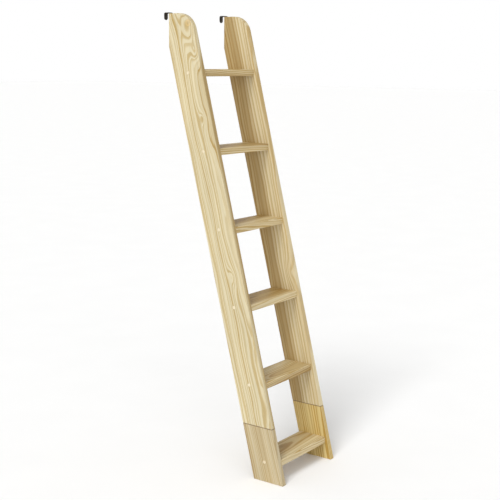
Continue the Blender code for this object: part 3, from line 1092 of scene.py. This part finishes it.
def threaded_rod(w, source):
    """A screw's shank from inside its head down: plain, then threaded, then a point."""
    start = source["Head depth"] * SHANK_START
    length = source["Length"] - start
    inputs = {
        "Vertices": SHANK_SIDES,
        "Side Segments": source["Rows"],
        "Radius": 1.0,
        "Depth": length,
    }
    rod = lowered(w, w.first_of("GeometryNodeMeshCylinder", inputs), length * 0.5 + start)
    position = w.first_of("GeometryNodeInputPosition")
    x, y, z = w.apart(position)
    depth = z * -1.0
    turn = w.math("ARCTAN2", y, x) / (2 * math.pi)
    phase = w.math("FRACT", depth / source["Pitch"] + turn)
    ridge = w.ramp(w.math("ABSOLUTE", phase - 0.5), *RIDGE)
    plain = w.ramp(depth - source["Plain length"], 0.0, -THREAD_START)
    sunk = (1.0 - w.math("MAXIMUM", ridge, plain)) * source["Thread depth"]
    left = (source["Length"] - depth) / source["Point length"]
    taper = w.math("MINIMUM", left * (1.0 - POINT_SHARE) + POINT_SHARE, 1.0)
    radius = (source["Radius"] - sunk) * taper
    moved = w.vector("MULTIPLY", position, w.together(radius, radius, 1.0))
    return w.first_of("GeometryNodeSetPosition", {"Geometry": rod, "Position": moved})


def recess_shape(w, source):
    """A six-sided socket or a four-armed cross."""
    radius, reach = source["Recess radius"], source["Recess depth"] * 2.0
    inputs = {"Vertices": 6, "Radius": radius, "Depth": reach}
    socket = w.first_of("GeometryNodeMeshCylinder", inputs)
    arm, width = radius * 2.0, radius * RECESS_ARM
    sizes = (w.together(arm, width, reach), w.together(width, arm, reach))
    bars = [w.first_of("GeometryNodeMeshCube", {"Size": size}) for size in sizes]
    cross = w.boolean("UNION", bars)
    inputs = {"Switch": source["Cross recess"], "False": socket, "True": cross}
    return w.first_of("GeometryNodeSwitch", inputs, input_type="GEOMETRY")


def repeated_pieces(name, slot, tree, spots, values):
    """One piece made by a tree at several spots, in place of the nodes there.

    spots gives, for each node, its place and the way that it faces."""
    mesh = bpy.data.meshes.new(name)
    mesh.from_pydata([place for place, _ in spots.values()], [], [])
    facing = mesh.attributes.new("facing", "FLOAT_VECTOR", "POINT")
    facing.data.foreach_set("vector", [value for _, axis in spots.values() for value in axis])
    piece = new_object(name, mesh)
    add_shape_modifier(piece, tree, values)
    bake_shape(piece, values["Material"])
    hand_over(piece, slot, *spots)


# Hooks


def bar_end(y, tip_z, half):
    """(y, z, half width) up the half-round end of a hanging bar, from its tip."""
    places = []
    for i in range(1, BAR_END_SEGMENTS + 1):
        angle = math.pi / 2 * i / BAR_END_SEGMENTS
        places.append((y, tip_z + half * (1 - math.cos(angle)), half * math.sin(angle)))
    return places


def hook_line(side, hooks):
    """The middle line of a hook's bar: (y, z, half width) from the leg's end to the drop's end."""
    low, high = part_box(f"{side}_hook")
    half = (high.x - low.x) / 2
    leg_y, drop_y = low.y + hooks.thickness / 2, high.y - hooks.thickness / 2
    bend = hooks.bend
    bend_z = high.z - hooks.thickness / 2 - bend
    bends = arc((leg_y + bend, bend_z), bend, math.pi, math.pi / 2, BEND_SEGMENTS)
    bends += arc((drop_y - bend, bend_z), bend, math.pi / 2, 0, BEND_SEGMENTS)
    drop = reversed(bar_end(drop_y, high.z - HOOK_DROP, half))
    return [*bar_end(leg_y, low.z, half), *((y, z, half) for y, z in bends), *drop]


def bar_section(half_width, half_thickness, edge):
    """The bar's cross-section with rounded corners, as (across, out) pairs."""
    radius = min(edge, half_width * MOST_ROUNDED)
    points = []
    for quarter, (across, out) in enumerate([(1, -1), (1, 1), (-1, 1), (-1, -1)]):
        centre = (across * (half_width - radius), out * (half_thickness - radius))
        start = (quarter - 1) * math.pi / 2
        points += arc(centre, radius, start, start + math.pi / 2, BAR_EDGE_SEGMENTS)
    return points


def hook_bar(side, hooks):
    """The bent bar, lofted along its middle line."""
    middle_x = centre_of(f"{side}_hook").x
    line = hook_line(side, hooks)
    work = bmesh.new()
    rings = []
    for i, (y, z, half) in enumerate(line):
        before, after = line[max(i - 1, 0)], line[min(i + 1, len(line) - 1)]
        along = Vector((0, after[0] - before[0], after[1] - before[1])).normalized()
        out = ACROSS.cross(along)
        ring = []
        for across, depth in bar_section(half, hooks.thickness / 2, hooks.edge):
            ring.append(work.verts.new(Vector((middle_x + across, y, z)) + out * depth))
        rings.append(ring)
    for first, second in zip(rings, rings[1:]):
        for i in range(len(first)):
            j = (i + 1) % len(first)
            work.faces.new((first[i], first[j], second[j], second[i]))
    work.faces.new(list(reversed(rings[0])))
    work.faces.new(rings[-1])
    bmesh.ops.recalc_face_normals(work, faces=work.faces)
    return mesh_from(f"{side}_hook_bar", work)


# How each board was sawn: where the middle of its log lay, and how its growth lines run. Knots
# are (across, along, radius) from the middle of the board's floor end.
RAIL_GRAIN = {
    "left": {
        "Pith": (0.066, -0.070, 0.0),
        "Ring width": 0.0066,
        "First year": 9.2,
        "Taper": -0.014,
        "Wander": 0.034,
        "Heart radius": 0.050,
        "Contrast": 1.25,
        "Tint": (0.935, 0.925, 0.88, 1.0),
        "Knot 1": (-0.0500, 1.8400, 0.0140),
        "Show 1": 0.5,
        "Knot 2": (-0.0570, 1.7250, 0.0050),
        "Show 2": 0.35,
        "Knot 3": (-0.0313, 1.4534, 0.0045),
        "Knot 4": (-0.0238, 0.8000, 0.0055),
    },
    "right": {
        "Pith": (-0.020, 0.100, 0.0),
        "Ring width": 0.0150,
        "Taper": -0.016,
        "Wander": 0.030,
        "Heart radius": 0.072,
        "Contrast": 0.9,
        "Tint": (0.94, 0.90, 0.82, 1.0),
        "Knot 1": (-0.0480, 0.7600, 0.0070),
    },
}
FOOT_GRAIN = {
    "left": {
        "Pith": (0.040, 0.110, 0.0),
        "Ring width": 0.0080,
        "Taper": 0.030,
        "Heart radius": 0.060,
        "Contrast": 1.05,
        "Tint": (0.785, 0.745, 0.69, 1.0),
    },
    "right": {
        "Pith": (0.050, -0.085, 0.0),
        "Ring width": 0.0095,
        "Taper": 0.020,
        "Heart radius": 0.020,
        "Contrast": 1.5,
        "Tint": (0.93, 0.82, 0.51, 1.0),
    },
}
ALL_TREADS_GRAIN = {"Contrast": 1.3, "Tint": (0.98, 0.92, 0.80, 1.0)}
TREAD_GRAIN = {
    1: {"Pith": (0.060, 0.020, 0.0), "Ring width": 0.0085, "Taper": 0.03, "Heart radius": 0.07},
    2: {"Pith": (0.045, -0.030, 0.0), "Ring width": 0.0075, "Taper": -0.04, "Heart radius": 0.05},
    3: {"Pith": (-0.055, 0.010, 0.0), "Ring width": 0.0080, "Taper": 0.035, "Heart radius": 0.06},
    4: {"Pith": (0.050, 0.035, 0.0), "Ring width": 0.0075, "Taper": 0.04, "Heart radius": 0.07},
    5: {"Pith": (-0.048, -0.020, 0.0), "Ring width": 0.0080, "Taper": -0.03, "Heart radius": 0.05},
    6: {"Pith": (0.065, 0.000, 0.0), "Ring width": 0.0070, "Taper": 0.03, "Heart radius": 0.08},
}


# Operators


class LADDER_OT_side_boards(bpy.types.Operator):
    """Makes the two rails and their foot sections"""

    bl_idname = "ladder.side_boards"
    bl_label = "Side Boards"

    def execute(self, context):
        settings = context.scene.ladder
        boards = settings.boards
        front, back, _ = board_edges(boards)
        middle_y = (front(0) + back(0)) / 2 * math.cos(LEAN)
        turn = (LEAN, 0.0, 0.0)
        for side in SIDES:
            rail, foot = f"{side}_rail", f"{side}_foot"
            low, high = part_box(rail)
            rail_seam, foot_seam = low.z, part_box(foot)[1].z
            centre = ((low.x + high.x) / 2, middle_y, 0.0)
            for name, outline, seam, numbers, grain in (
                (rail, rail_outline(boards, rail_seam), rail_seam, STEP_NUMBERS[1:], RAIL_GRAIN),
                (foot, foot_outline(boards, foot_seam), foot_seam, STEP_NUMBERS[:1], FOOT_GRAIN),
            ):
                board = side_board(f"{name}_board", outline, low.x, high.x, seam, boards)
                bores = bmesh.new()
                for number in numbers:
                    step_bores(bores, side, number)
                for row in SEAM_ROWS:
                    dowel_bore(bores, f"{side}_seam_dowel_{row}", UP)
                if name == rail:
                    hook_groove(bores, side)
                    hook_screw_bores(bores, side)
                material = pine_material(
                    f"pine_{name}", settings.pine, turn, centre, grain[side], seam
                )
                finish_bored(board, bores, material, "pine", name)
        return {"FINISHED"}


class LADDER_OT_treads(bpy.types.Operator):
    """Makes the six treads"""

    bl_idname = "ladder.treads"
    bl_label = "Treads"

    def execute(self, context):
        settings = context.scene.ladder
        tree = tread_tree()
        low, high = LOWEST_STEP
        size = high - low
        turn = (0.0, -math.pi / 2, 0.0)
        values = {
            "Length": size.x,
            "Depth": size.y,
            "Thickness": size.z,
            "Edge rounding": settings.boards.tread_rounding,
            "Lowest middle": (low + high) / 2,
            "Rise": STEP_CLIMB.z / (len(STEP_NUMBERS) - 1),
            "Slope": SLOPE,
        }
        for number in STEP_NUMBERS:
            step, name = f"step_{number}", f"tread_{number}"
            middle = centre_of(step)
            centre = (-middle.z, middle.y, 0.0)
            grain = {**ALL_TREADS_GRAIN, **TREAD_GRAIN[number]}
            material = pine_material(f"pine_{step}", settings.pine, turn, centre, grain)
            tread = new_object(name, bpy.data.meshes.new(name))
            add_shape_modifier(tread, tree, {**values, "Number": number, "Material": material})
            bores = bmesh.new()
            for side in SIDES:
                step_bores(bores, side, number)
            finish_bored(tread, bores, material, "pine", step)
        return {"FINISHED"}


class LADDER_OT_hooks(bpy.types.Operator):
    """Makes the two steel hooks"""

    bl_idname = "ladder.hooks"
    bl_label = "Hooks"

    def execute(self, context):
        hooks = context.scene.ladder.hooks
        material = dark_steel_material(hooks)
        for side in SIDES:
            hook = new_object(f"{side}_hook_bar", hook_bar(side, hooks))
            bores = bmesh.new()
            hook_screw_bores(bores, side)
            finish_bored(hook, bores, material, "dark_steel", f"{side}_hook")
        return {"FINISHED"}


STEP_SCREW = {
    "Plain length": 0.021,
    "Point length": 0.004,
    "Recess radius": 0.0023,
    "Recess depth": 0.0022,
    "Cross recess": False,
    "Rows": 110,
}
STEP_SCREW_FOOT = 0.97  # radius at the foot of the head, as a share of its top
HOOK_SCREW = {
    "Pitch": 0.0018,
    "Plain length": 0.006,
    "Point length": 0.005,
    "Recess radius": 0.0021,
    "Recess depth": 0.0014,
    "Cross recess": True,
    "Rows": 96,
}
HOOK_SCREW_FOOT = 0.485
HOOK_THREAD_SHARE = 1 / 8  # of the head's radius


class LADDER_OT_screws(bpy.types.Operator):
    """Makes the step screws and the hook screws"""

    bl_idname = "ladder.screws"
    bl_label = "Screws"

    def execute(self, context):
        fasteners = context.scene.ladder.fasteners
        material = zinc_material(fasteners.zinc)
        tree = screw_tree()
        nodes = both_sides("step_screw", STEP_NUMBERS)
        spots = {node: (outer_end(node, axis), axis) for node, axis in nodes.items()}
        head, length = sizes_along(next(iter(nodes)), ACROSS)
        values = {
            **STEP_SCREW,
            "Length": length,
            "Head radius": head,
            "Head foot radius": head * STEP_SCREW_FOOT,
            "Head depth": SCREW_HEAD_DEPTH,
            "Radius": SCREW_SHANK,
            "Thread depth": fasteners.thread_depth,
            "Pitch": fasteners.thread_pitch,
            "Material": material,
        }
        repeated_pieces("step_screws", "zinc_steel", tree, spots, values)
        nodes = both_sides("hook_screw", HOOK_SCREW_NUMBERS)
        spots = {node: (outer_end(node, BACK), BACK) for node in nodes}
        head, length = sizes_along(next(iter(nodes)), BACK)
        values = {
            **HOOK_SCREW,
            "Length": length,
            "Head radius": head,
            "Head foot radius": head * HOOK_SCREW_FOOT,
            "Head depth": head / 2 + HOOK_SCREW_LIP,
            "Radius": head / 2,
            "Thread depth": head * HOOK_THREAD_SHARE,
            "Material": material,
        }
        repeated_pieces("hook_screws", "zinc_steel", tree, spots, values)
        return {"FINISHED"}


class LADDER_OT_plugs(bpy.types.Operator):
    """Makes the plugs that cover the step screws"""

    bl_idname = "ladder.plugs"
    bl_label = "Plugs"

    def execute(self, context):
        fasteners = context.scene.ladder.fasteners
        nodes = both_sides("plug", STEP_NUMBERS)
        spots = {node: (outer_end(node, axis), axis) for node, axis in nodes.items()}
        radius, thickness = sizes_along(next(iter(nodes)), ACROSS)
        values = {
            "Radius": radius,
            "Thickness": thickness,
            "Chamfer": fasteners.plug_chamfer,
            "Material": turned_wood_material(
                "plug_wood", (0.73, 0.65, 0.46), (0.64, 0.52, 0.33), (900.0, 120.0, 1400.0)
            ),
        }
        repeated_pieces("plugs", "plug_wood", plug_tree(), spots, values)
        return {"FINISHED"}


class LADDER_OT_dowels(bpy.types.Operator):
    """Makes the dowels in the step ends and the seams"""

    bl_idname = "ladder.dowels"
    bl_label = "Dowels"

    def execute(self, context):
        fasteners = context.scene.ladder.fasteners
        tree = dowel_tree()
        for kind, marks, axis, density in (
            ("step_dowel", STEP_NUMBERS, ACROSS, (60.0, 1500.0, 1500.0)),
            ("seam_dowel", SEAM_ROWS, UP, (1500.0, 1500.0, 60.0)),
        ):
            spots = {node: (centre_of(node), axis) for node in both_sides(kind, marks)}
            radius, length = sizes_along(next(iter(spots)), axis)
            values = {
                "Radius": radius,
                "Length": length,
                "Chamfer": fasteners.dowel_chamfer,
                "Flutes": fasteners.flutes,
                "Flute depth": fasteners.flute_depth,
                "Material": turned_wood_material(
                    f"{kind}s_wood", (0.72, 0.53, 0.33), (0.55, 0.36, 0.20), density
                ),
            }
            repeated_pieces(f"{kind}s", "dowel_wood", tree, spots, values)
        return {"FINISHED"}


# Half of the floor's width, and each light's spread and the way that it shines
FLOOR_REACH = 60
KEY_SPREAD, KEY_DIRECTION = math.radians(22), (0.66, 0.07, -0.745)
FILL_SPREAD, FILL_DIRECTION = math.radians(50), (0.62, 0.60, -0.50)
CEILING = (0.12, 0.45)  # heights on a unit sphere where the backdrop gives way to the ceiling
FARTHEST_SEEN = 200


def add_light(name, strength, spread, direction):
    """A distant light as wide as a soft box, shining along a direction."""
    light = bpy.data.lights.new(name, "SUN")
    light.energy = strength
    light.angle = spread
    new_object(name, light).rotation_euler = Vector(direction).to_track_quat("-Z", "Y").to_euler()


def room_world(backdrop, overhead):
    """A white backdrop all round that gives way to a dimmer ceiling."""
    world = bpy.data.worlds.new("studio")
    world.use_nodes = True
    w = Wiring(world.node_tree)
    direction = w.all_of("ShaderNodeTexCoord")["Generated"]
    background = world.node_tree.nodes["Background"]
    background.inputs["Color"].default_value = WHITE
    strength = w.ramp(w.apart(direction)[2], *CEILING, backdrop, overhead)
    w.feed(background.inputs["Strength"], strength)
    return world


class LADDER_OT_stage(bpy.types.Operator):
    """Makes the floor, the lights and the camera"""

    bl_idname = "ladder.stage"
    bl_label = "Stage"

    def execute(self, context):
        stage = context.scene.ladder.stage
        scene = context.scene
        work = bmesh.new()
        bmesh.ops.create_grid(work, x_segments=8, y_segments=8, size=FLOOR_REACH)
        floor = new_object("floor", mesh_from("floor", work))
        floor.data.materials.append(floor_material(stage.floor_colour))
        add_light("key_light", stage.key_light, KEY_SPREAD, KEY_DIRECTION)
        add_light("fill_light", stage.fill_light, FILL_SPREAD, FILL_DIRECTION)
        scene.world = room_world(stage.backdrop_light, stage.room_light)
        scene.view_settings.view_transform = "Standard"
        camera = bpy.data.cameras.new("camera")
        camera.lens = stage.lens
        camera.shift_y = stage.rise
        camera.clip_end = FARTHEST_SEEN
        viewer = new_object("camera", camera)
        heading = Euler((math.pi / 2 - stage.camera_dip, 0, stage.camera_heading - math.pi / 2))
        turn = heading.to_matrix() @ Matrix.Rotation(stage.camera_roll, 3, "Z")
        viewer.matrix_world = Matrix.LocRotScale(Vector(stage.camera_place), turn, None)
        scene.camera = viewer
        return {"FINISHED"}


OPERATORS = (
    LADDER_OT_side_boards,
    LADDER_OT_treads,
    LADDER_OT_hooks,
    LADDER_OT_screws,
    LADDER_OT_plugs,
    LADDER_OT_dowels,
    LADDER_OT_stage,
)


class LADDER_PT_panel(bpy.types.Panel):
    """Lists the ladder's pieces and settings"""

    bl_label = "Hook-on Ladder"
    bl_idname = "LADDER_PT_panel"
    bl_space_type = "VIEW_3D"
    bl_region_type = "UI"
    bl_category = "Ladder"

    def draw(self, context):
        settings = context.scene.ladder
        for operator in OPERATORS:
            self.layout.operator(operator.bl_idname)
        for group in ("pine", "boards", "hooks", "fasteners", "stage"):
            box = self.layout.box()
            box.label(text=group.capitalize())
            values = getattr(settings, group)
            for name in values.bl_rna.properties.keys():
                if name not in ("rna_type", "name"):
                    box.prop(values, name)


CLASSES = (
    PineSettings,
    BoardSettings,
    HookSettings,
    FastenerSettings,
    StageSettings,
    LadderSettings,
    *OPERATORS,
    LADDER_PT_panel,
)


def register():
    for cls in CLASSES:
        bpy.utils.register_class(cls)
    bpy.types.Scene.ladder = PointerProperty(type=LadderSettings)


def unregister():
    del bpy.types.Scene.ladder
    for cls in reversed(CLASSES):
        bpy.utils.unregister_class(cls)


def main():
    register()
    bpy.ops.ladder.side_boards()
    bpy.ops.ladder.treads()
    bpy.ops.ladder.hooks()
    bpy.ops.ladder.screws()
    bpy.ops.ladder.plugs()
    bpy.ops.ladder.dowels()
    bpy.ops.ladder.stage()


if __name__ == "__main__":
    main()
